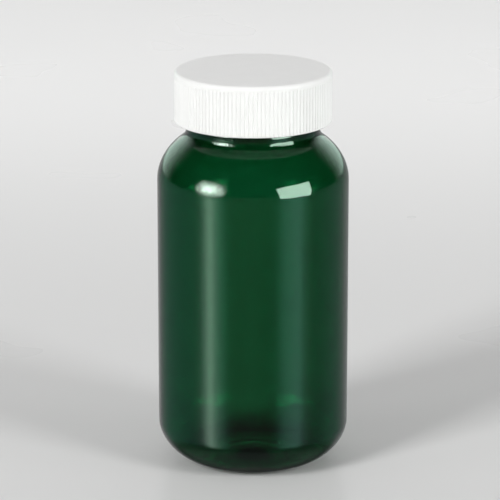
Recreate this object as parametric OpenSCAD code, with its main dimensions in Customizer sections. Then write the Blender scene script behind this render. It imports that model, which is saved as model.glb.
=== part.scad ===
// Wide-mouth packer bottle with a two-shell push-and-turn closure.
// Millimetres, +Z up. The origin is the centre of the circle that the bottle stands on.

/* [Bottle] */
// Outside diameter of the body
body_d = 63.5; // [60:0.5:70]
// Height of the bottle alone, up to the sealing land
bottle_h = 126.4; // [122:0.2:134]
// Thickness of the body wall
wall = 0.9; // [0.6:0.1:1.2]
// Thickness of the shoulder at its top, beside the neck
shoulder_wall = 1.2; // [1:0.1:2.2]
// Outside diameter of the ring that the bottle stands on
stand_d = 34; // [30:1:40]
// Height at which the rounded heel meets the straight wall
heel_rise = 13.4; // [11:0.2:16]
// Roundness of the heel: 2 is an ellipse, less is softer
heel_power = 1.86; // [1.7:0.02:2.2]
// Height at which the straight wall ends and the shoulder begins
shoulder_z = 96.5; // [92:0.5:97.5]
// Height that the shoulder curve would climb if it ran in to its centre line
shoulder_rise = 17.4; // [15:0.2:17.8]
// Reach of the shoulder curve, in from the wall
shoulder_run = 19; // [17:0.5:21]
// Roundness of the shoulder: 2 is an ellipse
shoulder_power = 1.92; // [1.8:0.02:2.1]
// Height of the push-up in the middle of the base
push_up = 3; // [2:0.25:4]

/* [Neck finish] */
// Outside diameter of the neck, under the thread
neck_d = 42; // [41.8:0.1:42.2]
// Outside diameter of the neck's foot, below the thread
neck_foot_d = 44.2; // [43:0.2:44.4]
// Diameter over the thread
thread_d = 44.3; // [44:0.1:44.5]
// Diameter of the mouth
bore_d = 38.5; // [37.5:0.1:39]
// Rise of the thread in one turn
thread_pitch = 4.2333; // [4.0:0.0001:4.4]
// Turns of thread on the neck
thread_turns = 1.25; // [1:0.05:1.3]

/* [Closure] */
// Outside diameter over the ribs
closure_d = 52; // [51.6:0.1:53]
// Height of the outer shell
closure_h = 17; // [16.8:0.1:17.2]
// Thickness of the outer shell's top
shell_top = 1.3; // [1.1:0.1:1.4]
// Number of ribs round the outer shell
rib_count = 120; // [60:12:144]
// Depth of a rib
rib_depth = 0.3; // [0.25:0.05:0.5]
// Plain band above the ribs, up to the top face
plain_band = 1.9; // [1.6:0.1:2.6]
// How far the outer shell presses down
press_travel = 1.6; // [1.2:0.1:1.6]
// Number of drive lugs, the same on both shells
lug_count = 24; // [12:12:24]
// Number of spring fingers
finger_count = 6; // [4:1:8]

/* [Liner] */
// Thickness of the pulp board
board_t = 0.85; // [0.7:0.05:0.9]
// Thickness of the foil facing
foil_t = 0.12; // [0.06:0.02:0.14]

/* [Hidden] */
$fn = 96;

bottle_green = [0.05, 0.28, 0.17, 0.8];
closure_white = [0.95, 0.95, 0.94];
inner_white = [0.88, 0.88, 0.86];
pulp_grey = [0.80, 0.77, 0.70];
foil_silver = [0.75, 0.76, 0.78];

body_r = body_d / 2;
stand_r = stand_d / 2;
neck_r = neck_d / 2;
bore_r = bore_d / 2;
neck_foot_r = neck_foot_d / 2;
thread_r = thread_d / 2;
closure_r = closure_d / 2;

// Bottle outline
arc_steps = 24;
blend_steps = 8;
stand_w = 1.6;
push_r = stand_r - stand_w;
heel_run = body_r - stand_r;
shoulder_axis_r = body_r - shoulder_run;
blend_run = 1.9;
shoulder_end_r = neck_foot_r + blend_run;
inner_foot_r = neck_foot_r - shoulder_wall;
inner_end_r = inner_foot_r + blend_run;
blend_up = 2;
inner_blend_up = 1.6;
neck_foot_z = bottle_h - 11;
neck_foot_taper = 0.8;
bore_foot_z = neck_foot_z + 2.4;
land_corner = 0.4;

// How far joined shapes reach into each other
weld = 0.01;
rib_sink = 0.15;
rib_weld = 0.1;

// Gaps between pieces
face_gap = 0.03;
bead_gap = 0.1;
lug_gap = 0.3;
pressed_gap = 0.2;

// Closure heights, from the land up and from the top face down
liner_seat_z = bottle_h + foil_t + board_t + face_gap;
closure_top_z = 133.2 + bottle_h - 126.4;
shell_under_z = closure_top_z - shell_top;
shell_bottom_z = closure_top_z - closure_h;
bead_h = 1.2;
bead_lead = 0.5;
bead_ramp = 0.15;
inner_bottom_z = shell_bottom_z + bead_h + bead_gap;
lug_h = press_travel - lug_gap + pressed_gap;
inner_top_z = shell_under_z - 2 * lug_h - lug_gap;

// Closure radii
inner_wall = 1.3;
cap_bore_r = thread_r + 0.3;
inner_outer_r = cap_bore_r + inner_wall;
shell_bore_r = inner_outer_r + 0.45;
rib_r = closure_r - 0.02;
shell_root_r = closure_r - rib_depth;
shell_bead_r = inner_outer_r - 0.65;
liner_r = cap_bore_r - 0.5;
liner_bead_r = neck_r + 0.45;
liner_bead_z = bottle_h - 0.4;
liner_bead_half = 0.15;
liner_bead_lead = 0.2;
liner_bead_ramp = 0.6;
top_corner = 1.2;

// Threads: half widths at the root and at the crest of each ridge
neck_root_half = 1.15;
neck_crest_half = 0.45;
cap_root_half = 0.75;
cap_crest_half = 0.4;
cap_crest_r = neck_r + 0.35;
thread_drop = 1.55;
thread_start_z = bottle_h - 7.2;
cap_thread_from = 90;
cap_thread_turns = 1;
thread_step = 7.5;
thread_fade = 30;
thread_sink = 0.25;

// Drive lugs
lug_in_r = 17.5;
lug_out_r = 22.9;
lug_angle = 132 / lug_count;

// Spring fingers
finger_r = 11;
finger_w = 3;
finger_t = 0.7;
finger_reach = 7.5;
finger_foot = 1.6;

// A quarter of a rounded curve: x runs out from cx by a, z leaves cz by b.
function round_point(cx, cz, a, b, power, angle) =
    [cx + a * pow(cos(angle), 2 / power), cz + b * pow(sin(angle), 2 / power)];

// The angle at which that curve is at radius r.
function round_angle(cx, a, power, r) = acos(pow((r - cx) / a, power / 2));

// The slope dz/dr of that curve at radius r.
function round_slope(cx, a, b, power, r) =
    let (u = (r - cx) / a)
    let (w = pow(1 - pow(u, power), 1 / power))
    -(b / a) * pow(u / w, power - 1);

// A curve from p to q that leaves and arrives towards the corner c.
function bend(p, c, q, t) = (1 - t) * (1 - t) * p + 2 * t * (1 - t) * c + t * t * q;
function bend_points(p, c, q) = [for (i = [1:blend_steps]) bend(p, c, q, i / blend_steps)];

// The push-up of the base, lifted by lift.
function push_points(lift) =
    [for (i = [0:arc_steps]) let (r = push_r * i / arc_steps)
        [r, lift + push_up * (1 + cos(180 * i / arc_steps)) / 2]];

// The heel, for a wall of thickness t (0 for the outside).
function heel_points(t) =
    [for (i = [0:arc_steps]) let (angle = 90 - 90 * i / arc_steps)
        round_point(stand_r, heel_rise, heel_run - t, -(heel_rise - t), heel_power, angle)];

// The shoulder as far in as end_r, for a wall of thickness t that is top_t at its top.
function shoulder_points(t, top_t, end_r) =
    let (last = round_angle(shoulder_axis_r, shoulder_run - t, shoulder_power, end_r))
    [for (i = [0:arc_steps])
        round_point(shoulder_axis_r, shoulder_z, shoulder_run - t, shoulder_rise - top_t,
            shoulder_power, last * i / arc_steps)];

// The bend from the shoulder up into the neck at radius r.
function neck_bend(t, top_t, end_r, r, up) =
    let (side = shoulder_points(t, top_t, end_r))
    let (p = side[arc_steps])
    let (slope = round_slope(shoulder_axis_r, shoulder_run - t, shoulder_rise - top_t,
        shoulder_power, end_r))
    let (c = [r, p[1] + slope * (r - end_r)])
    bend_points(p, c, c + [0, up]);

function reversed(list) = [for (i = [len(list) - 1:-1:0]) list[i]];

outside = concat(
    push_points(0),
    heel_points(0),
    shoulder_points(0, 0, shoulder_end_r),
    neck_bend(0, 0, shoulder_end_r, neck_foot_r, blend_up),
    [[neck_foot_r, neck_foot_z], [neck_r, neck_foot_z + neck_foot_taper]],
    [[neck_r, bottle_h - land_corner], [neck_r - land_corner, bottle_h]]);

inside = concat(
    push_points(wall),
    heel_points(wall),
    shoulder_points(wall, shoulder_wall, inner_end_r),
    neck_bend(wall, shoulder_wall, inner_end_r, inner_foot_r, inner_blend_up),
    [[bore_r, bore_foot_z], [bore_r, bottle_h - land_corner], [bore_r + land_corner, bottle_h]]);

// A helical ridge, right-handed, that fades out at both ends. Its root is sunk into the wall.
module ridge(root_r, crest_r, root_half, crest_half, z, from_angle, turns) {
    side = crest_r > root_r ? 1 : -1;
    steps = round(turns * 360 / thread_step);
    sunk_r = root_r - side * thread_sink;
    function angle_at(i) = from_angle + i * thread_step;
    function fade_at(i) = min(1, min(i, steps - i) * thread_step / thread_fade);
    function ring(i) =
        let (a = angle_at(i))
        let (zc = z + thread_pitch * a / 360)
        let (r = root_r + (crest_r - root_r) * fade_at(i))
        [for (p = [[sunk_r, -root_half], [r, -crest_half], [r, crest_half], [sunk_r, root_half]])
            [p[0] * cos(a), p[0] * sin(a), zc + p[1]]];
    points = [for (i = [0:steps]) each ring(i)];
    function quad(i, j) =
        let (n = (j + 1) % 4)
        [[4 * i + j, 4 * i + n, 4 * i + 4 + j], [4 * i + n, 4 * i + 4 + n, 4 * i + 4 + j]];
    walls = [for (i = [0:steps - 1]) for (j = [0:3]) for (t = quad(i, j)) t];
    ends = [[0, 3, 2], [0, 2, 1],
        [4 * steps, 4 * steps + 1, 4 * steps + 2], [4 * steps, 4 * steps + 2, 4 * steps + 3]];
    faces = concat(walls, ends);
    polyhedron(points, side < 0 ? [for (f = faces) reversed(f)] : faces);
}

// A sector of a ring.
module ring_sector(in_r, out_r, angle) {
    polygon(concat(
        [for (a = [-1, 0, 1]) out_r * [cos(a * angle / 2), sin(a * angle / 2)]],
        [for (a = [1, 0, -1]) in_r * [cos(a * angle / 2), sin(a * angle / 2)]]));
}

module lugs(z, first_angle) {
    for (i = [0:lug_count - 1])
        rotate([0, 0, first_angle + i * 360 / lug_count])
            translate([0, 0, z])
                linear_extrude(height = lug_h)
                    ring_sector(lug_in_r, lug_out_r, lug_angle);
}

// Blow-moulded bottle with its threaded neck.
module bottle() {
    color(bottle_green) {
        rotate_extrude()
            polygon(concat(outside, reversed(inside)));
        ridge(neck_r, thread_r, neck_root_half, neck_crest_half, thread_start_z, 0, thread_turns);
    }
}

// Foil facing that lies on the land.
module liner_foil() {
    color(foil_silver)
        translate([0, 0, bottle_h])
            cylinder(h = foil_t, r = liner_r);
}

// Pulp board behind the foil.
module liner_board() {
    color(pulp_grey)
        translate([0, 0, bottle_h + foil_t])
            cylinder(h = board_t, r = liner_r);
}

// Threaded inner cap, with a bead that holds the liner and lugs on its top.
module inner_cap() {
    corner = 0.5;
    bead_high = liner_bead_z + liner_bead_half;
    bead_low = liner_bead_z - liner_bead_half;
    color(inner_white) {
        rotate_extrude()
            polygon([
                [0, liner_seat_z],
                [cap_bore_r, liner_seat_z],
                [cap_bore_r, bead_high + liner_bead_lead],
                [liner_bead_r, bead_high],
                [liner_bead_r, bead_low],
                [cap_bore_r, bead_low - liner_bead_ramp],
                [cap_bore_r, inner_bottom_z + corner],
                [cap_bore_r + corner, inner_bottom_z],
                [inner_outer_r, inner_bottom_z],
                [inner_outer_r, inner_top_z - corner],
                [inner_outer_r - corner, inner_top_z],
                [0, inner_top_z]]);
        ridge(cap_bore_r, cap_crest_r, cap_root_half, cap_crest_half,
            thread_start_z - thread_drop, cap_thread_from, cap_thread_turns);
        lugs(inner_top_z - weld, 0);
    }
}

// Leaf fingers that hold the two shells apart.
module spring_fingers() {
    low = inner_top_z + face_gap;
    high = shell_under_z - face_gap;
    half = finger_reach / 2;
    color(closure_white)
        for (i = [0:finger_count - 1])
            rotate([0, 0, i * 360 / finger_count])
                translate([finger_r - finger_w / 2, 0, 0])
                    rotate([90, 0, 90])
                        linear_extrude(height = finger_w)
                            polygon([
                                [-half, high],
                                [-half, high - finger_t],
                                [-half + finger_foot, high - finger_t],
                                [half - finger_foot, low],
                                [half, low],
                                [half, low + finger_t],
                                [half - finger_foot, low + finger_t],
                                [-half + finger_foot, high]]);
}

// One turn of the ribbed wall, as an outline seen from above.
module rib_ring() {
    pitch = 360 / rib_count;
    sunk_r = shell_root_r - rib_sink;
    root = 0.46;
    crest = 0.2;
    profile = [[-root, sunk_r], [-crest, rib_r], [crest, rib_r], [root, sunk_r]];
    difference() {
        polygon([for (i = [0:rib_count - 1]) for (p = profile)
            let (a = (i + p[0]) * pitch)
            p[1] * [cos(a), sin(a)]]);
        circle(r = shell_root_r - rib_sink - rib_weld);
    }
}

// Ribbed outer shell, with a bead that hooks under the inner cap and lugs under its top.
module outer_shell() {
    rib_top_z = closure_top_z - plain_band;
    foot = 0.3;
    corner_steps = 8;
    color(closure_white) {
        rotate_extrude()
            polygon(concat(
                [[0, shell_under_z],
                [shell_bore_r, shell_under_z],
                [shell_bore_r, shell_bottom_z + bead_h + bead_ramp],
                [shell_bead_r, shell_bottom_z + bead_h],
                [shell_bead_r, shell_bottom_z + bead_lead],
                [shell_bead_r + bead_lead, shell_bottom_z],
                [shell_root_r, shell_bottom_z],
                [shell_root_r, rib_top_z],
                [closure_r, rib_top_z]],
                [for (i = [0:corner_steps]) let (a = 90 * i / corner_steps)
                    [closure_r - top_corner + top_corner * cos(a),
                    closure_top_z - top_corner + top_corner * sin(a)]],
                [[0, closure_top_z]]));
        translate([0, 0, shell_bottom_z + foot])
            linear_extrude(height = rib_top_z - shell_bottom_z - foot + rib_weld)
                rib_ring();
        lugs(shell_under_z - lug_h + weld, 180 / lug_count);
    }
}

bottle();
liner_foil();
liner_board();
inner_cap();
spring_fingers();
outer_shell();
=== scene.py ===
import math

import bmesh
import bpy
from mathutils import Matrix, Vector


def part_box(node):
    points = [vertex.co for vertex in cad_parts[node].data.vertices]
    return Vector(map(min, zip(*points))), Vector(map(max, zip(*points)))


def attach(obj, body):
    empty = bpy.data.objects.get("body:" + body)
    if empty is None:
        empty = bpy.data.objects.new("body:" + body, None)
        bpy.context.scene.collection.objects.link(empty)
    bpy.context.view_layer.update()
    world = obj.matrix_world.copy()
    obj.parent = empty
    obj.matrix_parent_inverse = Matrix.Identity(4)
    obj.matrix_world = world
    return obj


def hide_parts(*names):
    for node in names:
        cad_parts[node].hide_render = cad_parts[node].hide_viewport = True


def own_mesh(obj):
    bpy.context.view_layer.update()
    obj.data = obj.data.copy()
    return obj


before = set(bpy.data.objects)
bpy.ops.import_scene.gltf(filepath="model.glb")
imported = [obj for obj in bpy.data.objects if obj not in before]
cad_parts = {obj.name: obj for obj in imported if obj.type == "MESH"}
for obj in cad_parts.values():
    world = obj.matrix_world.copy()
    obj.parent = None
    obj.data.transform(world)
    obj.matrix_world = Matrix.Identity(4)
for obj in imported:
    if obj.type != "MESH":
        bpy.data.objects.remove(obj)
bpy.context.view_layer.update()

bl_info = {
    "name": "Packer Bottle",
    "version": (1, 0, 0),
    "blender": (4, 5, 0),
    "location": "View3D > Sidebar > Packer Bottle",
    "description": "Finishes a packer bottle with a two-shell push-and-turn closure",
    "category": "Add Mesh",
}

MM = 0.001
TURN = 2 * math.pi

_, BOTTLE_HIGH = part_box("bottle")
SHELL_LOW, SHELL_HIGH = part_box("outer_shell")
INNER_LOW, INNER_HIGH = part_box("inner_cap")
FINGERS_LOW, FINGERS_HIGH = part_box("spring_fingers")
FOIL_LOW, FOIL_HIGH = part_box("liner_foil")
BOARD_LOW, BOARD_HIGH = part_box("liner_board")


def number(name, description, default, precision=4, **settings):
    """A plain number."""
    return bpy.props.FloatProperty(name=name, description=description, default=default,
                                   precision=precision, **settings)


def length(name, description, millimetres):
    """A length. The default is in millimetres."""
    return number(name, description, millimetres * MM, min=0, precision=5,
                  subtype="DISTANCE", unit="LENGTH")


def angle(name, description, degrees):
    """An angle. The default is in degrees."""
    return number(name, description, math.radians(degrees), subtype="ANGLE", unit="ROTATION")


def count(name, description, default):
    """A number of like things."""
    return bpy.props.IntProperty(name=name, description=description, default=default, min=3)


def colour(name, description, default):
    """A colour, linear."""
    return bpy.props.FloatVectorProperty(name=name, description=description, default=default,
                                         size=3, min=0, soft_max=1, subtype="COLOR")


class BottleSizes(bpy.types.PropertyGroup):
    """The bottle and its neck."""

    radius: length("Body radius", "Outside radius of the body", BOTTLE_HIGH[0] / MM)
    height: length("Height", "Height up to the sealing land", BOTTLE_HIGH[2] / MM)
    wall: length("Wall", "Thickness of the wall", 0.9)
    stand_radius: length("Standing ring", "Radius of the ring the bottle stands on", 17)
    stand_width: length("Ring width", "Width of the standing ring", 1.6)
    push_up: length("Push-up", "Height of the push-up in the base", 3)
    heel_rise: length("Heel", "Height at which the heel meets the wall", 13.4)
    heel_power: number("Heel roundness", "2 is an ellipse, less is softer", 1.86)
    shoulder_start: length("Shoulder", "Height at which the shoulder begins", 96.5)
    shoulder_rise: length("Shoulder rise", "Climb of the whole shoulder curve", 17.4)
    shoulder_run: length("Shoulder run", "Reach of the whole shoulder curve", 19)
    shoulder_power: number("Shoulder roundness", "2 is an ellipse", 1.92)
    shoulder_wall: length("Shoulder wall", "Thickness of the shoulder beside the neck", 1.2)
    neck_radius: length("Neck", "Outside radius of the neck", 21)
    foot_radius: length("Neck foot", "Outside radius of the neck below its thread", 22.1)
    foot_run: length("Foot run", "Reach of the bend from the shoulder to the neck", 1.9)
    foot_up: length("Foot rise", "Climb of that bend up the neck's outside", 2)
    foot_up_inside: length("Inside foot rise", "Climb of that bend up the neck's inside", 1.6)
    foot_depth: length("Foot depth", "Depth of the neck's wider foot below the land", 11)
    thread_depth: length("Thread depth", "Depth below the land where the thread may begin", 9.6)
    bore_depth: length("Bore depth", "Depth of the straight bore below the land", 8.6)
    bore_radius: length("Mouth", "Radius of the mouth", 19.25)
    waviness: length("Waviness", "Unevenness of the blown wall's inside", 0.05)
    ripple: length("Ripple", "Unevenness of the inside of the heel", 0.1)
    segments: count("Segments", "Steps round the bottle", 240)


class ThreadSizes(bpy.types.PropertyGroup):
    """The screw thread that the neck and the inner cap share."""

    pitch: length("Pitch", "Rise in one turn", 4.2333)
    neck_depth: length("Neck depth", "Height of the ridge on the neck", 1.15)
    neck_turns: number("Neck turns", "Turns of thread on the neck", 1.25)
    start_below_land: length("Start", "Depth of the thread's start below the land", 7.2)
    cap_drop: length("Cap drop", "Drop of the cap's ridge below the neck's", 1.55)
    cap_depth: length("Cap depth", "Height of the ridge in the inner cap", 1.1)
    cap_turns: number("Cap turns", "Turns of thread in the inner cap", 1)
    fade: number("Fade", "Turns over which a ridge fades out at its ends", 0.08)


class ClosureSizes(bpy.types.PropertyGroup):
    """The two shells of the closure, and what is between them."""

    radius: length("Radius", "Outside radius over the ribs", SHELL_HIGH[0] / MM)
    top: length("Top", "Thickness of the outer shell's top", 1.3)
    corner: length("Corner", "Radius of the top edge", 1.2)
    plain_band: length("Plain band", "Height of the plain band above the ribs", 1.9)
    rib_count: count("Ribs", "Number of ribs", 120)
    rib_depth: length("Rib depth", "Depth of the grooves between the ribs", 0.25)
    steps_per_rib: count("Rib steps", "Steps round one rib", 10)
    shell_bore: length("Shell bore", "Inside radius of the outer shell", 24.2)
    bead_radius: length("Bead", "Radius inside the outer shell's bead", 23.1)
    bead_height: length("Bead height", "Height of the outer shell's bead", 1.2)
    inner_radius: length("Inner cap", "Outside radius of the inner cap", 23.75)
    inner_bore: length("Inner bore", "Inside radius of the inner cap", 22.45)
    liner_bead: length("Liner bead", "Radius inside the bead that holds the liner", 21.45)
    lug_count: count("Lugs", "Number of lugs on each shell", 24)
    lug_height: length("Lug height", "Height of a lug", 1.5)
    lug_inside: length("Lug inside", "Inner radius of the lugs", 17.5)
    lug_outside: length("Lug outside", "Outer radius of the lugs", 22.9)
    finger_count: count("Fingers", "Number of spring fingers", 6)
    finger_radius: length("Finger radius", "Radius of the ring of fingers", 11)
    finger_width: length("Finger width", "Width of a finger", 3)
    finger_thickness: length("Finger thickness", "Thickness of a finger", 0.7)
    finger_reach: length("Finger reach", "Length of a finger round the ring", 7.5)


class Finishes(bpy.types.PropertyGroup):
    """Colours and depths of the materials."""

    tint: colour("Bottle tint", "Light that gets through one depth of the plastic",
                 (0.036, 0.243, 0.127))
    tint_depth: length("Tint depth", "Depth of plastic that the tint is for", 1)
    shell: colour("Outer shell", "White of the outer shell", (0.79, 0.79, 0.78))
    inner: colour("Inner cap", "White of the inner cap", (0.74, 0.75, 0.72))
    pulp: colour("Pulp", "Colour of the liner board", (0.62, 0.56, 0.44))
    foil: colour("Foil", "Colour of the liner's facing", (0.80, 0.81, 0.83))
    floor: colour("Floor", "Colour of the floor", (0.735, 0.735, 0.73))


class StageSizes(bpy.types.PropertyGroup):
    """Camera, floor and lights."""

    distance: length("Camera distance", "From the camera to the point it looks at", 1100)
    elevation: angle("Camera elevation", "Height of the camera above the horizon", 15.64)
    lens: number("Lens", "Focal length in millimetres on a 36 mm sensor", 237.66)
    aim_height: length("Aim height", "Height that the camera looks at", 71.7)
    aim_left: length("Aim left", "How far left of the axis the camera looks", 1)
    floor_drop: length("Floor drop", "Gap under the standing ring", 0.1)
    ambient: number("Ambient", "Brightness of the room", 0.22)
    key: number("Key", "Brightness of the left light", 20.5)
    fill: number("Fill", "Brightness of the right light", 14)
    sides: number("Sides", "Brightness of the low lights at the sides", 15)
    overhead: number("Back light", "Brightness of the strip over the far floor", 1.15)
    near_share: number("Near share", "Share of it for the strip over the near floor", 0.25)


def operator(kind, swapped=False):
    """What one of Python's operators does: it adds a Math node."""
    def act(value, other):
        return value.tree.maths(kind, *((other, value) if swapped else (value, other)))
    return act


class Value:
    """A node's output that Python's operators turn into Math nodes."""

    def __init__(self, tree, socket):
        self.tree = tree
        self.socket = socket

    __add__ = __radd__ = operator("ADD")
    __sub__ = operator("SUBTRACT")
    __rsub__ = operator("SUBTRACT", swapped=True)
    __mul__ = __rmul__ = operator("MULTIPLY")
    __truediv__ = operator("DIVIDE")
    __rtruediv__ = operator("DIVIDE", swapped=True)
    __mod__ = operator("MODULO")
    __pow__ = operator("POWER")


class Tree:
    """Adds nodes to one node tree."""

    def __init__(self, node_tree):
        self.node_tree = node_tree

    def socket(self, sockets, key):
        """The socket with that number, or the one in use with that name."""
        if isinstance(key, int):
            return sockets[key]
        return next(s for s in sockets if s.name == key and s.enabled)

    def put(self, socket, value):
        """Links a value to a socket, or sets it there."""
        if isinstance(value, Value):
            self.node_tree.links.new(value.socket, socket)
        else:
            socket.default_value = value

    def add(self, kind, settings=None, values=None):
        """A node of that type: its settings first, then the values or links of its sockets."""
        node = self.node_tree.nodes.new(kind)
        for name, setting in (settings or {}).items():
            if name == "stops":
                self.set_stops(node.color_ramp, setting)
            else:
                setattr(node, name, setting)
        for key, value in (values or {}).items():
            self.put(self.socket(node.inputs, key), value)
        return node

    def get(self, kind, settings=None, values=None, output=0):
        """The output of a new node."""
        node = self.add(kind, settings, values)
        return Value(self, self.socket(node.outputs, output))

    def set_stops(self, ramp, stops):
        """Gives a soft colour ramp its pairs of place and colour."""
        ramp.interpolation = "CARDINAL"
        while len(ramp.elements) < len(stops):
            ramp.elements.new(1)
        for element, (place, tone) in zip(ramp.elements, stops):
            element.position = place
            element.color = (*tone, 1)

    def maths(self, operation, *values, clamp=False):
        """A Math node on values or numbers."""
        settings = {"operation": operation, "use_clamp": clamp}
        return self.get("ShaderNodeMath", settings, dict(enumerate(values)))

    def join(self, *parts):
        """A vector of three parts."""
        return self.get("ShaderNodeCombineXYZ", values=dict(enumerate(parts)))

    def separate(self, vector):
        """The three parts of a vector."""
        node = self.add("ShaderNodeSeparateXYZ", values={0: vector})
        return [Value(self, output) for output in node.outputs]

    def reach(self, x, y):
        """How far a point is from the origin."""
        return self.maths("SQRT", x * x + y * y)

    def round_axis(self, turn, radius):
        """Where a turn and a radius lead: x and y."""
        return (self.maths(way, turn * TURN) * radius for way in ("COSINE", "SINE"))

    def ease(self, value):
        """A value held between 0 and 1, with soft ends."""
        held = self.maths("ADD", value, 0, clamp=True)
        return held * held * (3 - held * 2)

    def mix(self, factor, first, second):
        """A mix of two colours."""
        values = {0: factor, 6: first, 7: second}
        return self.get("ShaderNodeMix", {"data_type": "RGBA"}, values, 2)


# --- Geometry trees ---


def geometry_tree(name, inputs):
    """A new geometry tree with a mesh in and out, and named inputs: {name: socket type}."""
    node_tree = bpy.data.node_groups.new(name, "GeometryNodeTree")
    face = node_tree.interface
    face.new_socket("Geometry", in_out="INPUT", socket_type="NodeSocketGeometry")
    for label, kind in {**inputs, "Material": "NodeSocketMaterial"}.items():
        face.new_socket(label, in_out="INPUT", socket_type=kind)
    face.new_socket("Geometry", in_out="OUTPUT", socket_type="NodeSocketGeometry")
    tree = Tree(node_tree)
    source = tree.add("NodeGroupInput")
    given = {s.name: Value(tree, s) for s in source.outputs if s.name}
    return tree, given


def finish_tree(tree, geometry, material):
    """Ends a geometry tree: real geometry, with its material."""
    real = tree.get("GeometryNodeRealizeInstances", values={"Geometry": geometry})
    done = tree.get("GeometryNodeSetMaterial", values={"Geometry": real, "Material": material})
    tree.add("NodeGroupOutput", values={"Geometry": done})
    return tree.node_tree


def lathe_tree(name, inputs, relief):
    """A tree that turns an outline of points about Z.

    relief(tree, given, mark, turn, radius, height) gives what is added to the radius, where mark
    reads the outline's own attributes and turn runs from 0 to 1 round the axis.
    """
    tree, given = geometry_tree(name, {"Segments": "NodeSocketInt", **inputs})
    outline, segments = given["Geometry"], given["Segments"]
    rows = tree.get("GeometryNodeAttributeDomainSize", {"component": "MESH"},
                    {"Geometry": outline}, "Point Count")
    columns = segments + 1
    grid = tree.get("GeometryNodeMeshGrid", values={"Vertices X": rows, "Vertices Y": columns})
    index = tree.get("GeometryNodeInputIndex")
    row = tree.maths("FLOOR", index / columns)
    turn = (index % columns) / segments

    def sample(kind, value):
        values = {"Geometry": outline, "Value": value, "Index": row}
        return tree.get("GeometryNodeSampleIndex", {"data_type": kind}, values)

    def mark(attribute):
        named = tree.get("GeometryNodeInputNamedAttribute", {"data_type": "FLOAT"},
                         {"Name": attribute}, "Attribute")
        return sample("FLOAT", named)

    place = sample("FLOAT_VECTOR", tree.get("GeometryNodeInputPosition"))
    radius, _, height = tree.separate(place)
    radius = radius + relief(tree, given, mark, turn, radius, height)
    x, y = tree.round_axis(turn, radius)
    turned = tree.get("GeometryNodeSetPosition",
                      values={"Geometry": grid, "Position": tree.join(x, y, height)})
    merged = tree.get("GeometryNodeMergeByDistance",
                      values={"Geometry": turned, "Distance": 0.001 * MM})
    return finish_tree(tree, merged, given["Material"])


def ridge(tree, given, turn, height):
    """A helical ridge between 0 and 1 that fades out at both ends."""
    best = 0
    for layer in (0, 1):
        travel = turn + layer
        rise = given["Start"] + given["Pitch"] * travel
        off = tree.maths("ABSOLUTE", height - rise)
        side = (given["Root Half"] - off) / (given["Root Half"] - given["Crest Half"])
        ends = tree.maths("MINIMUM", travel - given["From"],
                          given["From"] + given["Turns"] - travel) / given["Fade"]
        best = tree.maths("MAXIMUM", best, tree.ease(side) * tree.ease(ends))
    return best


RIDGE_INPUTS = ("Pitch", "Start", "From", "Turns", "Fade", "Depth", "Root Half", "Crest Half")


def thread_relief(tree, given, mark, turn, radius, height):
    """The relief of a plain threaded wall."""
    return ridge(tree, given, turn, height) * given["Depth"] * mark("threaded")


def bottle_tree():
    """Lathe with a thread outside and an uneven blown wall inside."""
    names = (*RIDGE_INPUTS, "Waviness", "Wave Size", "Ripple", "Ripple Size", "Seed")
    upright_share = 0.6

    def relief(tree, given, mark, turn, radius, height):
        x, y = tree.round_axis(turn, radius)

        def unevenness(size, detail):
            place = tree.join(x / size, y / size, height / size * upright_share)
            noise = tree.get("ShaderNodeTexNoise", {"noise_dimensions": "4D"},
                             {"Vector": place, "W": given["Seed"], "Scale": 1, "Detail": detail})
            return (noise - 0.5) * 2

        waves = unevenness(given["Wave Size"], 1) * given["Waviness"] * mark("wavy")
        ripples = unevenness(given["Ripple Size"], 2) * given["Ripple"] * mark("rippled")
        return thread_relief(tree, given, mark, turn, radius, height) + waves + ripples

    return lathe_tree("Blown Bottle", dict.fromkeys(names, "NodeSocketFloat"), relief)


def threaded_tree():
    """Lathe with a thread."""
    return lathe_tree("Threaded Cap", dict.fromkeys(RIDGE_INPUTS, "NodeSocketFloat"),
                      thread_relief)


def ribbed_tree():
    """Lathe with upright ribs: rounded tops with narrow grooves between them."""
    inputs = {"Ribs": "NodeSocketInt", "Depth": "NodeSocketFloat", "Flatness": "NodeSocketFloat"}
    past_rounding = 0.001

    def relief(tree, given, mark, turn, radius, height):
        across = tree.maths("FRACT", turn * given["Ribs"] + past_rounding)
        side = tree.maths("ABSOLUTE", across - 0.5) * 2
        return side ** given["Flatness"] * given["Depth"] * mark("ribbed") * -1

    return lathe_tree("Ribbed Shell", inputs, relief)


def ring_tree():
    """Repeats a mesh round Z."""
    inputs = {"Count": "NodeSocketInt", "First Angle": "NodeSocketFloat"}
    tree, given = geometry_tree("Ring Of Copies", inputs)
    points = tree.get("GeometryNodePoints", values={"Count": given["Count"]})
    turned = tree.get("GeometryNodeInputIndex") / given["Count"] * TURN + given["First Angle"]
    copies = tree.get("GeometryNodeInstanceOnPoints",
                      values={"Points": points, "Instance": given["Geometry"],
                              "Rotation": tree.join(0, 0, turned)})
    return finish_tree(tree, copies, given["Material"])


def new_object(name, data):
    """A new object in the scene."""
    thing = bpy.data.objects.new(name, data)
    bpy.context.scene.collection.objects.link(thing)
    return thing


def run_tree(node_tree, name, source, values):
    """A plain mesh object: what a geometry tree makes of a source mesh."""
    piece = new_object(name, source)
    modifier = piece.modifiers.new("Shape", "NODES")
    modifier.node_group = node_tree
    sockets = {item.name: item.identifier for item in node_tree.interface.items_tree
               if item.in_out == "INPUT"}
    for label, value in values.items():
        modifier[sockets[label]] = value
    depsgraph = bpy.context.evaluated_depsgraph_get()
    mesh = bpy.data.meshes.new_from_object(piece.evaluated_get(depsgraph), depsgraph=depsgraph)
    piece.modifiers.clear()
    piece.data = mesh
    finish_mesh(piece)
    return piece


def mesh_of(name, work):
    """The mesh that a bmesh holds."""
    mesh = bpy.data.meshes.new(name)
    work.to_mesh(mesh)
    work.free()
    return mesh


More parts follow.
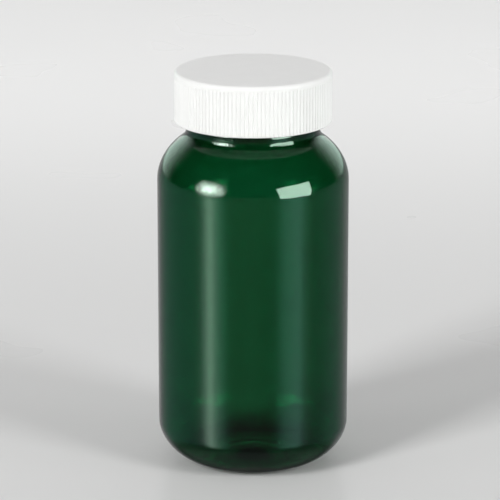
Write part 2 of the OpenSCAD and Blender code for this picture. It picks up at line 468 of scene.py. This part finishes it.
def run_ring(name, source, finish, copies, first_angle=0.0):
    """A ring of copies of a mesh."""
    return run_tree(ring_tree(), name, source, {
        "Count": copies, "First Angle": first_angle, "Material": finish})


def finish_mesh(piece, crease=35):
    """Smooth faces with sharp creases. The shell has to be closed, and faces out."""
    mesh = piece.data
    mesh.name = piece.name
    work = bmesh.new()
    work.from_mesh(mesh)
    if any(len(edge.link_faces) != 2 for edge in work.edges):
        raise RuntimeError(f"{piece.name} isn't closed")
    if work.calc_volume(signed=True) < 0:
        bmesh.ops.reverse_faces(work, faces=work.faces)
    work.to_mesh(mesh)
    work.free()
    mesh.shade_smooth()
    mesh.set_sharp_from_angle(angle=math.radians(crease))


def settle(piece, body, slot, *nodes):
    """Puts a finished piece on its body and hides the CAD nodes it stands for. Its slot is not
    used.
    """
    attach(piece, body)
    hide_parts(*nodes)


# --- Outlines ---


def outline_mesh(name, points, **marks):
    """A mesh of the points (radius, height) with one float attribute for each mark."""
    mesh = bpy.data.meshes.new(name)
    mesh.from_pydata([(r, 0, z) for r, z in points], [], [])
    for label, values in marks.items():
        mesh.attributes.new(label, "FLOAT", "POINT").data.foreach_set("value", values)
    return mesh


def levels(*runs):
    """A mark's levels from runs of points: pairs of level and points."""
    return [level for level, points in runs for _ in points]


def round_quarter(centre, reach, power, start, end, steps):
    """Points on a rounded quarter between two angles in degrees."""
    places = [math.radians(start + (end - start) * i / steps) for i in range(steps + 1)]
    return [tuple(middle + size * max(turn(p), 0) ** (2 / power)
                  for middle, size, turn in zip(centre, reach, (math.cos, math.sin)))
            for p in places]


def hold(value):
    """A number held between 0 and 1."""
    return min(max(value, 0), 1)


def bend(first, corner, last, steps):
    """Points after first on a curve that leaves and arrives towards the corner."""
    shares = [i / steps for i in range(1, steps + 1)]
    return [tuple((1 - t) ** 2 * p + 2 * t * (1 - t) * c + t * t * q
                  for p, c, q in zip(first, corner, last)) for t in shares]


def line(first, last, steps):
    """Points after first on a straight line."""
    return [tuple(p + (q - p) * i / steps for p, q in zip(first, last))
            for i in range(1, steps + 1)]


def rounded(corners, steps=4):
    """A polyline of (radius, height, rounding in millimetres) with its corners rounded off."""
    points = []
    for i, (r, z, size) in enumerate(corners):
        if size == 0 or i in (0, len(corners) - 1):
            points.append((r, z))
            continue
        ends = []
        for other in (corners[i - 1], corners[i + 1]):
            gap = math.dist((r, z), other[:2])
            ends.append(tuple(p + (q - p) * min(size * MM / gap, 0.5)
                              for p, q in zip((r, z), other)))
        points += [ends[0], *bend(ends[0], (r, z), ends[1], steps)]
    return points


def bottle_side(sizes, wall, top_wall, neck_radius, up, steps):
    """One face of the bottle, from the middle of the base to the foot of the neck."""
    push_radius = sizes.stand_radius - sizes.stand_width
    base = [(push_radius * i / steps,
             wall + sizes.push_up * (1 + math.cos(math.pi * i / steps)) / 2)
            for i in range(steps + 1)]
    heel = round_quarter((sizes.stand_radius, sizes.heel_rise),
                         (sizes.radius - sizes.stand_radius - wall, wall - sizes.heel_rise),
                         sizes.heel_power, 90, 0, 2 * steps)
    axis_radius = sizes.radius - sizes.shoulder_run
    run, rise = sizes.shoulder_run - wall, sizes.shoulder_rise - top_wall
    across = (neck_radius + sizes.foot_run - axis_radius) / run
    up_there = (1 - across ** sizes.shoulder_power) ** (1 / sizes.shoulder_power)
    last_angle = math.degrees(math.acos(across ** (sizes.shoulder_power / 2)))
    shoulder = round_quarter((axis_radius, sizes.shoulder_start), (run, rise),
                             sizes.shoulder_power, 0, last_angle, 2 * steps)
    slope = -(rise / run) * (across / up_there) ** (sizes.shoulder_power - 1)
    foot = shoulder[-1]
    corner = (neck_radius, foot[1] + slope * (neck_radius - foot[0]))
    side = line(heel[-1], shoulder[0], 2 * steps)[:-1]
    return [*base, *heel, *side, *shoulder,
            *bend(foot, corner, (neck_radius, corner[1] + up), steps)]


def bottle_outline(sizes):
    """The whole outline of the bottle, with where it is threaded, wavy and rippled."""
    land, step_rounding, steps = 0.4 * MM, 0.3, 14
    outside = bottle_side(sizes, 0, 0, sizes.foot_radius, sizes.foot_up, steps)
    inner_foot = sizes.foot_radius - sizes.shoulder_wall
    inside = bottle_side(sizes, sizes.wall, sizes.shoulder_wall, inner_foot,
                         sizes.foot_up_inside, steps)
    inside += bend(inside[-1], (inner_foot, inside[-1][1] + sizes.foot_up),
                   (sizes.bore_radius, sizes.height - sizes.bore_depth), 6)
    neck_start = (sizes.neck_radius, sizes.height - sizes.thread_depth, 0)
    outside += rounded([(*outside[-1], 0),
                        (sizes.foot_radius, sizes.height - sizes.foot_depth, step_rounding),
                        (sizes.neck_radius, neck_start[1] - 0.6 * MM, step_rounding),
                        neck_start])[1:]
    neck = line(outside[-1], (sizes.neck_radius, sizes.height - land), 52)
    rim = rounded([(sizes.neck_radius, sizes.height - land, 0),
                   (sizes.neck_radius, sizes.height, land / MM),
                   (sizes.bore_radius, sizes.height, land / MM),
                   (sizes.bore_radius, sizes.height - 2 * land, 0)])[1:]
    bore = line(rim[-1], inside[-1], 6)[:-1]
    points = [*outside, *neck, *rim, *bore, *reversed(inside)]
    threaded = levels((0, outside), (1, neck), (0, rim), (0, bore), (0, inside))
    low, high = sizes.heel_rise, sizes.shoulder_start + sizes.shoulder_rise * 0.6
    fade, outside_share = 6 * MM, 0.1
    first_inside = len(points) - len(inside)
    wavy, rippled = [], []
    for i, (r, z) in enumerate(points):
        within = i >= first_inside
        wavy.append(hold(min((z - low) / fade + 1, (high - z) / fade)) * within)
        ripple = hold(min((r - sizes.stand_radius) / fade, (low - z) / fade + within))
        rippled.append(ripple * (1 if within else outside_share))
    return outline_mesh("bottle_outline", points, threaded=threaded, wavy=wavy, rippled=rippled)


def inner_cap_outline(closure, land):
    """From the middle of its underside, down its bore and up its outside."""
    bore, bead = closure.inner_bore, closure.liner_bead
    low, high = INNER_LOW[2], INNER_HIGH[2] - closure.lug_height
    seat = BOARD_HIGH[2] + 0.03 * MM
    bead_z = land - 0.5 * MM
    start = rounded([(0, seat, 0),
                     (bore, seat, 0.2),
                     (bore, bead_z + 0.45 * MM, 0.05),
                     (bead, bead_z + 0.25 * MM, 0.1),
                     (bead, bead_z - 0.05 * MM, 0.1),
                     (bore, bead_z - 0.65 * MM, 0.2),
                     (bore, bead_z - 1 * MM, 0)])
    wall = line(start[-1], (bore, low + 0.6 * MM), 34)
    rest = rounded([(bore, low + 0.6 * MM, 0),
                    (bore + 0.5 * MM, low, 0.2),
                    (closure.inner_radius, low, 0.15),
                    (closure.inner_radius, high, 0.8),
                    (0, high, 0)])[1:]
    threaded = levels((0, start), (1, wall), (0, rest))
    return outline_mesh("inner_cap_outline", start + wall + rest, threaded=threaded)


def outer_shell_outline(closure):
    """From the middle of its underside, down its bore and up its ribs."""
    low, high = SHELL_LOW[2], SHELL_HIGH[2]
    bore, bead, radius = closure.shell_bore, closure.bead_radius, closure.radius
    bead_top = low + closure.bead_height
    rib_top = high - closure.plain_band
    foot, ramp, steps = 0.35 * MM, 0.6 * MM, 4
    inside = rounded([(0, high - closure.top, 0),
                      (bore, high - closure.top, 0.4),
                      (bore, bead_top + 0.15 * MM, 0.1),
                      (bead, bead_top, 0.12),
                      (bead, low + 0.5 * MM, 0.2),
                      (bead + 0.5 * MM, low, 0.15),
                      (radius - closure.rib_depth, low, 0.12),
                      (radius, low + foot, 0)])
    ribs = [(radius, low + foot + ramp * i / steps) for i in range(1, steps + 1)]
    fade = [(radius, rib_top - ramp + ramp * i / steps) for i in range(steps + 1)]
    top = [(radius - closure.corner * (1 - math.cos(math.radians(a))),
            high - closure.corner * (1 - math.sin(math.radians(a)))) for a in range(0, 91, 10)]
    top.append((0, high))
    ribbed = [*levels((0, inside[:-1])), 0.5, *levels((1, ribs)),
              *(1 - (i / steps) ** 2 for i in range(steps + 1)), *levels((0, top))]
    return outline_mesh("outer_shell_outline", inside + ribs + fade + top, ribbed=ribbed)


def liner_outline(name, low, high, radius, dent=None):
    """A disc with a soft edge. dent is (inner radius, outer radius, depth) of a pressed ring."""
    edge = (high - low) / MM * 0.4
    shape = [(0, low, 0)]
    if dent:
        inner, outer, depth = dent
        slope = 0.25 * MM
        shape += [(inner - slope, low, 0), (inner, low + depth, 0), (outer, low + depth, 0),
                  (outer + slope, low, 0)]
    shape += [(radius, low, edge), (radius, high, edge), (0, high, 0)]
    return outline_mesh(name, rounded(shape))


# --- Small solids ---


def skin(work, rings):
    """Joins rings of points into one closed tube with flat ends."""
    rings = [[work.verts.new(point) for point in ring] for ring in rings]
    for first, second in zip(rings, rings[1:]):
        for k in range(len(first)):
            n = (k + 1) % len(first)
            work.faces.new((first[k], first[n], second[n], second[k]))
    work.faces.new(reversed(rings[0]))
    work.faces.new(rings[-1])
    bmesh.ops.remove_doubles(work, verts=work.verts, dist=0.001 * MM)
    bmesh.ops.recalc_face_normals(work, faces=work.faces)


def lug_mesh(closure, base, tip, drive_side):
    """One lug: a block with an upright drive face on one side and a ramp on the other."""
    filled = 132 / 360
    half = TURN * filled / closure.lug_count / 2
    shape = [(-half, base), (-half, tip), (half * 0.3, tip),
             (half, base + (tip - base) * 0.4), (half, base)]
    work = bmesh.new()
    skin(work, [[(radius * math.cos(a * drive_side), radius * math.sin(a * drive_side), z)
                 for a, z in shape] for radius in (closure.lug_inside, closure.lug_outside)])
    edges = [e for e in work.edges if any(abs(v.co.z - base) > 0.2 * MM for v in e.verts)]
    bmesh.ops.bevel(work, geom=edges, offset=0.18 * MM, segments=2, affect="EDGES", profile=0.6)
    return mesh_of("lug", work)


def finger_mesh(closure, low, high):
    """One spring finger: a leaf that leaves the top level and curves down to a round foot."""
    steps, corners = 28, 12
    tip_start, thinner, narrower = 0.92, 0.15, 0.3
    half_turn = closure.finger_reach / closure.finger_radius / 2
    rings = []
    for i in range(steps + 1):
        share = i / steps
        ease = share * share * (3 - 2 * share)
        thickness = closure.finger_thickness * (1 - thinner * share)
        width = closure.finger_width * (1 - narrower * share)
        past = max(share - tip_start, 0) / (1 - tip_start)
        tip = math.sqrt(max(1 - past ** 2, 0))
        place = half_turn * (2 * share - 1)
        middle = high - thickness / 2 - ease * (high - low - thickness)
        rings.append([])
        for k in range(corners):
            over, up = (math.copysign(abs(part) ** power, part) for part, power in (
                (math.cos(TURN * k / corners), 0.4), (math.sin(TURN * k / corners), 0.5)))
            radius = closure.finger_radius + width / 2 * tip * over
            rings[-1].append((radius * math.cos(place), radius * math.sin(place),
                              middle + thickness / 2 * max(tip, 0.35) * up))
    work = bmesh.new()
    skin(work, rings)
    return mesh_of("finger", work)


# --- Materials ---


class Finish(Tree):
    """The node tree of a new material, with the place on the object in metres."""

    def __init__(self, name):
        self.material = bpy.data.materials.new(name)
        self.material.use_nodes = True
        self.material.node_tree.nodes.clear()
        super().__init__(self.material.node_tree)
        self.output = self.add("ShaderNodeOutputMaterial")
        self.place = self.get("ShaderNodeTexCoord", output="Object")

    def noise(self, scale, detail=3, roughness=0.5, along=1):
        """A grey noise with so many features to the metre, and along times as many upright."""
        place = self.place
        if along != 1:
            place = self.get("ShaderNodeMapping",
                             values={"Vector": place, "Scale": (1, 1, along)})
        values = {"Vector": place, "Scale": scale, "Detail": detail, "Roughness": roughness}
        return self.get("ShaderNodeTexNoise", values=values)

    def bump(self, height, depth):
        """Normals from a height between 0 and 1 that stands for a depth in metres."""
        return self.get("ShaderNodeBump", values={"Height": height, "Distance": depth})

    def shades(self, factor, tone, dark, light):
        """A mix of a darker and a lighter shade of a colour."""
        ends = [(*(min(c * share, 1) for c in tone), 1) for share in (dark, light)]
        return self.mix(factor, *ends)

    def wear(self, values, kind="ShaderNodeBsdfPrincipled", socket="Surface"):
        """Puts a shader on the material, and returns the material."""
        shader = self.add(kind, values=values)
        self.node_tree.links.new(shader.outputs[0], self.output.inputs[socket])
        return self.material


def tinted_plastic(finishes):
    """Clear tinted bottle plastic: the tint comes from its depth."""
    tree = Finish("tinted_clear_plastic")
    clear = tree.mix(tree.noise(90), (1, 1, 1, 1), (0.975, 0.99, 0.98, 1))
    swirl = tree.noise(70, 2, along=0.35)
    off_seam = tree.maths("ABSOLUTE", tree.separate(tree.place)[1])
    seam = tree.ease(1 - off_seam / (0.22 * MM))
    dark = [-math.log(c) / finishes.tint_depth for c in finishes.tint]
    density = max(dark)
    tree.wear({"Color": (*(1 - d / density for d in dark), 1), "Density": density},
              "ShaderNodeVolumeAbsorption", "Volume")
    return tree.wear({"Base Color": clear, "Roughness": 0.015, "IOR": 1.57,
                      "Transmission Weight": 1.0,
                      "Normal": tree.bump(swirl * 0.75 + seam * 0.25, 0.12 * MM)})


def moulded_white(name, tone, roughness, grain):
    """White moulded plastic: faint mottling, satin skin with a fine grain."""
    tree = Finish(name)
    mottle, grit = tree.noise(160, 4), tree.noise(2600, 2)
    rough = roughness + (grit - 0.5) * 0.16 + (mottle - 0.5) * 0.08
    return tree.wear({"Base Color": tree.shades(mottle, tone, 0.97, 1.03), "Roughness": rough,
                      "IOR": 1.49, "Specular IOR Level": 0.15, "Subsurface Weight": 0.6,
                      "Subsurface Radius": (1, 1, 1), "Subsurface Scale": 1.2 * MM,
                      "Normal": tree.bump(grit, grain)})


def pulp_board(finishes):
    """Waxed pulp board: short fibres and specks."""
    tree = Finish("waxed_pulp_board")
    fibre, cloud = tree.noise(1400, 5, 0.7, along=6), tree.noise(220)
    tone = tree.shades(fibre * 0.6 + cloud * 0.4, finishes.pulp, 0.78, 1.18)
    return tree.wear({"Base Color": tone, "Roughness": 0.85 - cloud * 0.2,
                      "Normal": tree.bump(fibre, 0.05 * MM)})


def sealing_foil(finishes):
    """Bright foil with a faint crinkle."""
    tree = Finish("sealing_foil")
    crinkle, dull = tree.noise(420, 5, 0.6), tree.noise(90, 2)
    return tree.wear({"Base Color": tree.shades(dull, finishes.foil, 0.92, 1.05),
                      "Metallic": 1.0, "Roughness": 0.2 + dull * 0.16,
                      "Normal": tree.bump(crinkle, 0.08 * MM)})


def floor_finish(finishes):
    """Plain pale sweep paper."""
    tree = Finish("pale_floor")
    grain = tree.noise(12, 2)
    return tree.wear({"Base Color": tree.shades(grain, finishes.floor, 0.995, 1.005),
                      "Roughness": 0.26 + grain * 0.04, "IOR": 1.12})


def shaded_floor(radius):
    """Painted shade under the bottle: near black, with a ragged soft edge a little outside that
    radius.
    """
    tree = Finish("shaded_floor")
    # Painted shade: a near-black tone with faint random variation that stands in for the shadow
    # under the bottle.
    painted_shade_tone = tree.mix(tree.noise(60), (0.02, 0.025, 0.022, 1), (0.03, 0.035, 0.032, 1))
    edge, squeeze, back, raggedness, steepness = 1.2, 0.8, 0.05, 0.2, 1.1
    x, y, _ = tree.separate(tree.place)
    inside = edge - tree.reach(x / radius, y / radius * squeeze - back)
    inside = inside + (tree.noise(90) - 0.5) * raggedness
    return tree.wear({"Base Color": painted_shade_tone, "Roughness": 0.9,
                      "Alpha": tree.ease(inside * steepness)})


def lamp_glow(middle, reach, glow, core):
    """Light from a cloth."""
    tree = Finish("lamp_glow")
    off = [(part - centre) / size
           for part, centre, size in zip(tree.separate(tree.place), middle, reach)]
    edge, raggedness, steepness = 1.15, 5, 0.9
    ragged = tree.reach(*off) + (tree.noise(20, 5, 0.8) - 0.5) * raggedness
    round_face = tree.ease((edge - ragged) * steepness)
    dimmest, brightest = 0.6, 1.4
    cloth = dimmest + tree.noise(45, 4, 0.6) * (brightest - dimmest)
    level = (round_face * round_face * core + (1 - core)) * cloth
    lit = tree.mix(level / brightest, (0, 0, 0, 1), (*glow, 1))
    return tree.wear({"Color": lit, "Strength": brightest}, "ShaderNodeEmission")


# --- Operators ---


def thread_values(thread, land):
    """What both threads share."""
    return {"Pitch": thread.pitch, "Start": land - thread.start_below_land, "Fade": thread.fade}


class PACKER_OT_bottle(bpy.types.Operator):
    """Blows the bottle: one closed wall with its thread"""

    bl_idname = "packer.bottle"
    bl_label = "Bottle"

    def execute(self, context):
        scene = context.scene
        sizes, thread = scene.packer_bottle, scene.packer_thread
        piece = run_tree(bottle_tree(), "bottle_wall", bottle_outline(sizes), {
            **thread_values(thread, sizes.height),
            "Segments": sizes.segments, "From": 0.0, "Turns": thread.neck_turns,
            "Depth": thread.neck_depth, "Root Half": 1.15 * MM, "Crest Half": 0.45 * MM,
            "Waviness": sizes.waviness, "Wave Size": 14 * MM, "Seed": 3.7,
            "Ripple": sizes.ripple, "Ripple Size": 3 * MM,
            "Material": tinted_plastic(scene.packer_finishes)})
        settle(piece, "bottle", "green_pet", "bottle")
        return {"FINISHED"}


class PACKER_OT_liner(bpy.types.Operator):
    """Cuts the two discs of the liner"""

    bl_idname = "packer.liner"
    bl_label = "Liner"

    def execute(self, context):
        scene = context.scene
        sizes, finishes = scene.packer_bottle, scene.packer_finishes
        tree = lathe_tree("Liner Disc", {}, lambda *_: 0)
        dent = (sizes.bore_radius, sizes.neck_radius, 0.04 * MM)
        foil = liner_outline("foil_outline", FOIL_LOW[2], FOIL_HIGH[2], FOIL_HIGH[0], dent)
        board = liner_outline("board_outline", BOARD_LOW[2], BOARD_HIGH[2], BOARD_HIGH[0])
        for name, outline, finish, slot, node in (
                ("liner_facing", foil, sealing_foil(finishes), "foil", "liner_foil"),
                ("liner_backing", board, pulp_board(finishes), "pulp", "liner_board")):
            piece = run_tree(tree, name, outline, {"Segments": 180, "Material": finish})
            settle(piece, "liner", slot, node)
        return {"FINISHED"}


class PACKER_OT_inner_cap(bpy.types.Operator):
    """Moulds the threaded inner cap and the lugs on its top"""

    bl_idname = "packer.inner_cap"
    bl_label = "Inner cap"

    def execute(self, context):
        scene = context.scene
        closure, thread = scene.packer_closure, scene.packer_thread
        land = scene.packer_bottle.height
        finish = moulded_white("inner_white_plastic", scene.packer_finishes.inner, 0.42, 0.01 * MM)
        values = thread_values(thread, land)
        values["Start"] -= thread.cap_drop
        cap = run_tree(threaded_tree(), "inner_cap_wall", inner_cap_outline(closure, land), {
            **values, "Segments": 240, "From": 0.25, "Turns": thread.cap_turns,
            "Depth": -thread.cap_depth, "Root Half": 0.75 * MM, "Crest Half": 0.4 * MM,
            "Material": finish})
        settle(cap, "inner_cap", "inner_white", "inner_cap")
        top = INNER_HIGH[2]
        lug = lug_mesh(closure, top - closure.lug_height - 0.05 * MM, top, -1)
        lugs = run_ring("inner_cap_lugs", lug, finish, closure.lug_count)
        settle(lugs, "inner_cap", "inner_white")
        return {"FINISHED"}


class PACKER_OT_spring_fingers(bpy.types.Operator):
    """Makes the spring fingers that hold the two shells apart"""

    bl_idname = "packer.spring_fingers"
    bl_label = "Spring fingers"

    def execute(self, context):
        scene = context.scene
        closure = scene.packer_closure
        low, high = FINGERS_LOW[2], FINGERS_HIGH[2]
        finish = moulded_white("finger_white_plastic", scene.packer_finishes.shell, 0.4, 0.01 * MM)
        piece = run_ring("spring_finger_set", finger_mesh(closure, low, high), finish,
                         closure.finger_count)
        settle(piece, "fingers", "shell_white", "spring_fingers")
        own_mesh(piece)
        return {"FINISHED"}


class PACKER_OT_outer_shell(bpy.types.Operator):
    """Moulds the ribbed outer shell and the drive lugs under its top"""

    bl_idname = "packer.outer_shell"
    bl_label = "Outer shell"

    def execute(self, context):
        scene = context.scene
        closure = scene.packer_closure
        finish = moulded_white("shell_white_plastic", scene.packer_finishes.shell, 0.4, 0.012 * MM)
        shell = run_tree(ribbed_tree(), "outer_shell_wall", outer_shell_outline(closure), {
            "Segments": closure.rib_count * closure.steps_per_rib, "Ribs": closure.rib_count,
            "Depth": closure.rib_depth, "Flatness": 4.0, "Material": finish})
        settle(shell, "shell", "shell_white", "outer_shell")
        under = SHELL_HIGH[2] - closure.top
        lug = lug_mesh(closure, under + 0.05 * MM, under - closure.lug_height, 1)
        lugs = run_ring("outer_shell_lugs", lug, finish, closure.lug_count,
                        math.pi / closure.lug_count)
        settle(lugs, "shell", "shell_white")
        return {"FINISHED"}


def turned(azimuth):
    """The rotation that faces a panel to the axis. Azimuths run from the front, left negative."""
    return (math.radians(90), 0, azimuth)


def from_axis(azimuth, distance, height):
    """The place at a distance from the axis in that azimuth."""
    return (distance * math.sin(azimuth), -distance * math.cos(azimuth), height)


def soft_light(name, place, rotation, size, brightness, spread=180):
    """A soft panel that lights the scene and isn't seen in reflections."""
    light = bpy.data.lights.new(name, "AREA")
    light.shape = "RECTANGLE"
    light.size, light.size_y = size
    light.spread = math.radians(spread)
    light.energy = brightness * math.pi * light.size * light.size_y
    panel = new_object(name, light)
    panel.location = place
    panel.rotation_euler = rotation
    panel.visible_camera = False
    panel.visible_glossy = False


MIRROR_ONLY = ("camera", "diffuse", "shadow", "volume_scatter")


def stage_piece(name, mesh, material, unseen):
    """A piece of the stage, which those kinds of ray don't see."""
    piece = new_object(name, mesh)
    for ray in unseen:
        setattr(piece, f"visible_{ray}", False)
    mesh.materials.append(material)
    return piece


def disc(radius, height, segments):
    """A flat disc."""
    work = bmesh.new()
    bmesh.ops.create_circle(work, cap_ends=True, radius=radius, segments=segments)
    bmesh.ops.translate(work, verts=work.verts, vec=(0, 0, height))
    return mesh_of("disc", work)


def lamp_face(name, azimuth, distance, corners, glow, core):
    """The bright face of a lamp, which only shows in reflections.

    corners are four points (across, height). core runs from 0, an even face, to 1, a face that
    is bright in its middle and dies away towards its edges.
    """
    middle = [sum(side) / 4 for side in zip(*corners)]
    reach = [max(abs(c - centre) for c in side) for side, centre in zip(zip(*corners), middle)]
    mesh = bpy.data.meshes.new(name)
    mesh.from_pydata([(x, z, 0) for x, z in corners], [], [(0, 1, 2, 3)])
    face = stage_piece(name, mesh, lamp_glow(middle, reach, glow, core), MIRROR_ONLY)
    face.location = from_axis(azimuth, distance, 0)
    face.rotation_euler = turned(azimuth)


# What the sides of the bottle mirror: (azimuth in degrees, red, green, blue).
LOW_MIRROR = (
    (-180, 0.36, 0.38, 0.37), (-166, 0.45, 0.45, 0.45), (-150, 0.34, 0.36, 0.36),
    (-133, 0.22, 0.33, 0.3), (-115, 0.16, 0.32, 0.28), (-82, 0.15, 0.27, 0.26),
    (-72, 0.22, 0.34, 0.32), (-66, 0.42, 0.6, 0.55), (-60, 1.05, 1.55, 1.3), (-53, 1.9, 2.9, 2.3),
    (-47, 1.15, 1.9, 1.5), (-41, 0.58, 1.1, 0.85), (-34, 0.26, 0.5, 0.4),
    (-26, 0.14, 0.16, 0.15), (0, 0.12, 0.12, 0.12), (22, 0.11, 0.11, 0.11),
    (31, 0.19, 0.35, 0.3), (38, 0.34, 0.72, 0.6), (46, 0.44, 0.92, 0.78),
    (57, 0.52, 1.02, 0.9), (63, 0.34, 0.6, 0.55), (71, 0.2, 0.28, 0.27),
    (80, 0.13, 0.19, 0.18), (105, 0.16, 0.26, 0.24), (127, 0.21, 0.3, 0.28),
    (145, 0.32, 0.34, 0.34), (180, 0.36, 0.38, 0.37),
)
BRIGHTEST_MIRROR = 3


def room(ambient):
    """The room: even for light, and in reflections a dark ceiling with soft bands low down."""
    world = bpy.data.worlds.new("room")
    world.use_nodes = True
    world.node_tree.nodes.clear()
    tree = Tree(world.node_tree)
    x, y, z = tree.separate(tree.get("ShaderNodeTexCoord", output="Generated"))
    azimuth = tree.maths("ARCTAN2", x, y * -1) / TURN + 0.5
    elevation = tree.maths("ARCSINE", z) * math.degrees(1)
    off_front = tree.maths("ABSOLUTE", azimuth - 0.5) * 360

    def rise(angle, start, run):
        """Climbs from 0 to 1 over a run of degrees, downward if it's negative."""
        return tree.ease((angle - start) / run)

    stops = [((place + 180) / 360, [c / BRIGHTEST_MIRROR for c in tone])
             for place, *tone in LOW_MIRROR]
    bands = tree.get("ShaderNodeValToRGB", {"stops": stops}, {0: azimuth})
    low = rise(elevation, -42, 16) * rise(elevation, -0.5, -4)
    behind = rise(off_front, 112, 38) * rise(elevation, 42, -28)
    ceiling, back_wall, ground = 0.015, 1.5, 0.26
    high = rise(elevation, -4, 5) * (ceiling + behind * back_wall)
    high = high + rise(elevation, -26, -34) * ground
    pale = tree.mix(rise(off_front, 160, 12), (0.76, 1, 0.88, 1), (1, 1, 1, 1))

    def light(tone, strength):
        return tree.get("ShaderNodeBackground", values={0: tone, 1: strength})

    lit = [light(bands, low * BRIGHTEST_MIRROR), light(pale, high)]
    mirrored = tree.get("ShaderNodeAddShader", values=dict(enumerate(lit)))
    even = light((1, 1, 1, 1), ambient)
    is_glossy = tree.get("ShaderNodeLightPath", output="Is Glossy Ray")
    both = tree.get("ShaderNodeMixShader", values={0: is_glossy, 1: even, 2: mirrored})
    tree.add("ShaderNodeOutputWorld", values={0: both})
    bpy.context.scene.world = world


class PACKER_OT_stage(bpy.types.Operator):
    """Sets up the floor, the lights and the camera"""

    bl_idname = "packer.stage"
    bl_label = "Stage"

    def execute(self, context):
        stage = context.scene.packer_stage
        self.make_floor(context.scene)
        self.make_camera(context.scene)
        for name, azimuth, height, size, brightness in (
                ("key_light", math.radians(-43), 1.15, (0.6, 1), stage.key),
                ("fill_light", math.radians(50), 0.93, (0.6, 0.9), stage.fill),
                ("left_side_light", -1.3, 0.27, (0.7, 0.3), stage.sides * 0.8),
                ("right_side_light", 1.3, 0.27, (0.7, 0.3), stage.sides)):
            soft_light(name, from_axis(azimuth, 2, height), turned(azimuth), size, brightness)
        soft_light("back_light", (0, 0.9, 0.66), (0, 0, 0), (3.2, 0.5), stage.overhead)
        soft_light("floor_light", (0, 0.52, 0.45), (0, 0, 0), (3.2, 0.2),
                   stage.overhead * stage.near_share, spread=80)
        lamp_face("left_lamp", math.radians(-51), 0.9,
                  ((-0.37, -0.05), (0.33, -0.05), (0.33, 0.55), (-0.37, 0.55)),
                  (22, 26, 23.5), 1)
        lamp_face("right_lamp", math.radians(52), 0.9,
                  ((-0.33, -0.03), (0.31, -0.03), (0.35, 0.43), (-0.41, 0.4)),
                  (7.6, 10.4, 8.8), 0)
        room(stage.ambient)
        context.scene.view_settings.view_transform = "Standard"
        return {"FINISHED"}

    def make_floor(self, scene):
        """The floor, and a dark spot of painted shade under the bottle that only shows through the
        bottle's plastic.
        """
        drop, radius = scene.packer_stage.floor_drop, scene.packer_bottle.radius
        stage_piece("floor", disc(6, -drop, 96), floor_finish(scene.packer_finishes),
                    ("glossy",))
        # A disc of painted contact shadow under the bottle, seen only by glossy and transmission
        # rays.
        stage_piece("dark_spot", disc(radius * 2, -drop / 2, 64), shaded_floor(radius),
                    MIRROR_ONLY)

    def make_camera(self, scene):
        stage = scene.packer_stage
        lens = bpy.data.cameras.new("camera")
        lens.sensor_width = 36
        lens.lens = stage.lens
        lens.clip_start = 0.01
        camera = new_object("camera", lens)
        away, up = math.cos(stage.elevation), math.sin(stage.elevation)
        camera.location = (-stage.aim_left, -stage.distance * away,
                           stage.aim_height + stage.distance * up)
        camera.rotation_euler = (math.pi / 2 - stage.elevation, 0, 0)
        scene.camera = camera


class PACKER_PT_panel(bpy.types.Panel):
    """Lists the steps that build the bottle"""

    bl_idname = "PACKER_PT_panel"
    bl_label = "Packer Bottle"
    bl_space_type = "VIEW_3D"
    bl_region_type = "UI"
    bl_category = "Packer Bottle"

    def draw(self, context):
        scene = context.scene
        for step in STEPS:
            self.layout.operator(step.bl_idname)
        for group in GROUPS:
            box = self.layout.box()
            sizes = getattr(scene, group)
            for name in sizes.bl_rna.properties.keys():
                if name not in ("rna_type", "name"):
                    box.prop(sizes, name)


GROUPS = {
    "packer_bottle": BottleSizes,
    "packer_thread": ThreadSizes,
    "packer_closure": ClosureSizes,
    "packer_finishes": Finishes,
    "packer_stage": StageSizes,
}
STEPS = (PACKER_OT_bottle, PACKER_OT_liner, PACKER_OT_inner_cap, PACKER_OT_spring_fingers,
         PACKER_OT_outer_shell, PACKER_OT_stage)


def register():
    for group in (*GROUPS.values(), *STEPS, PACKER_PT_panel):
        bpy.utils.register_class(group)
    for name, group in GROUPS.items():
        setattr(bpy.types.Scene, name, bpy.props.PointerProperty(type=group))


def unregister():
    for name in GROUPS:
        delattr(bpy.types.Scene, name)
    for group in reversed((*GROUPS.values(), *STEPS, PACKER_PT_panel)):
        bpy.utils.unregister_class(group)


def main():
    register()
    bpy.ops.packer.bottle()
    bpy.ops.packer.liner()
    bpy.ops.packer.inner_cap()
    bpy.ops.packer.spring_fingers()
    bpy.ops.packer.outer_shell()
    bpy.ops.packer.stage()


if __name__ == "__main__":
    main()
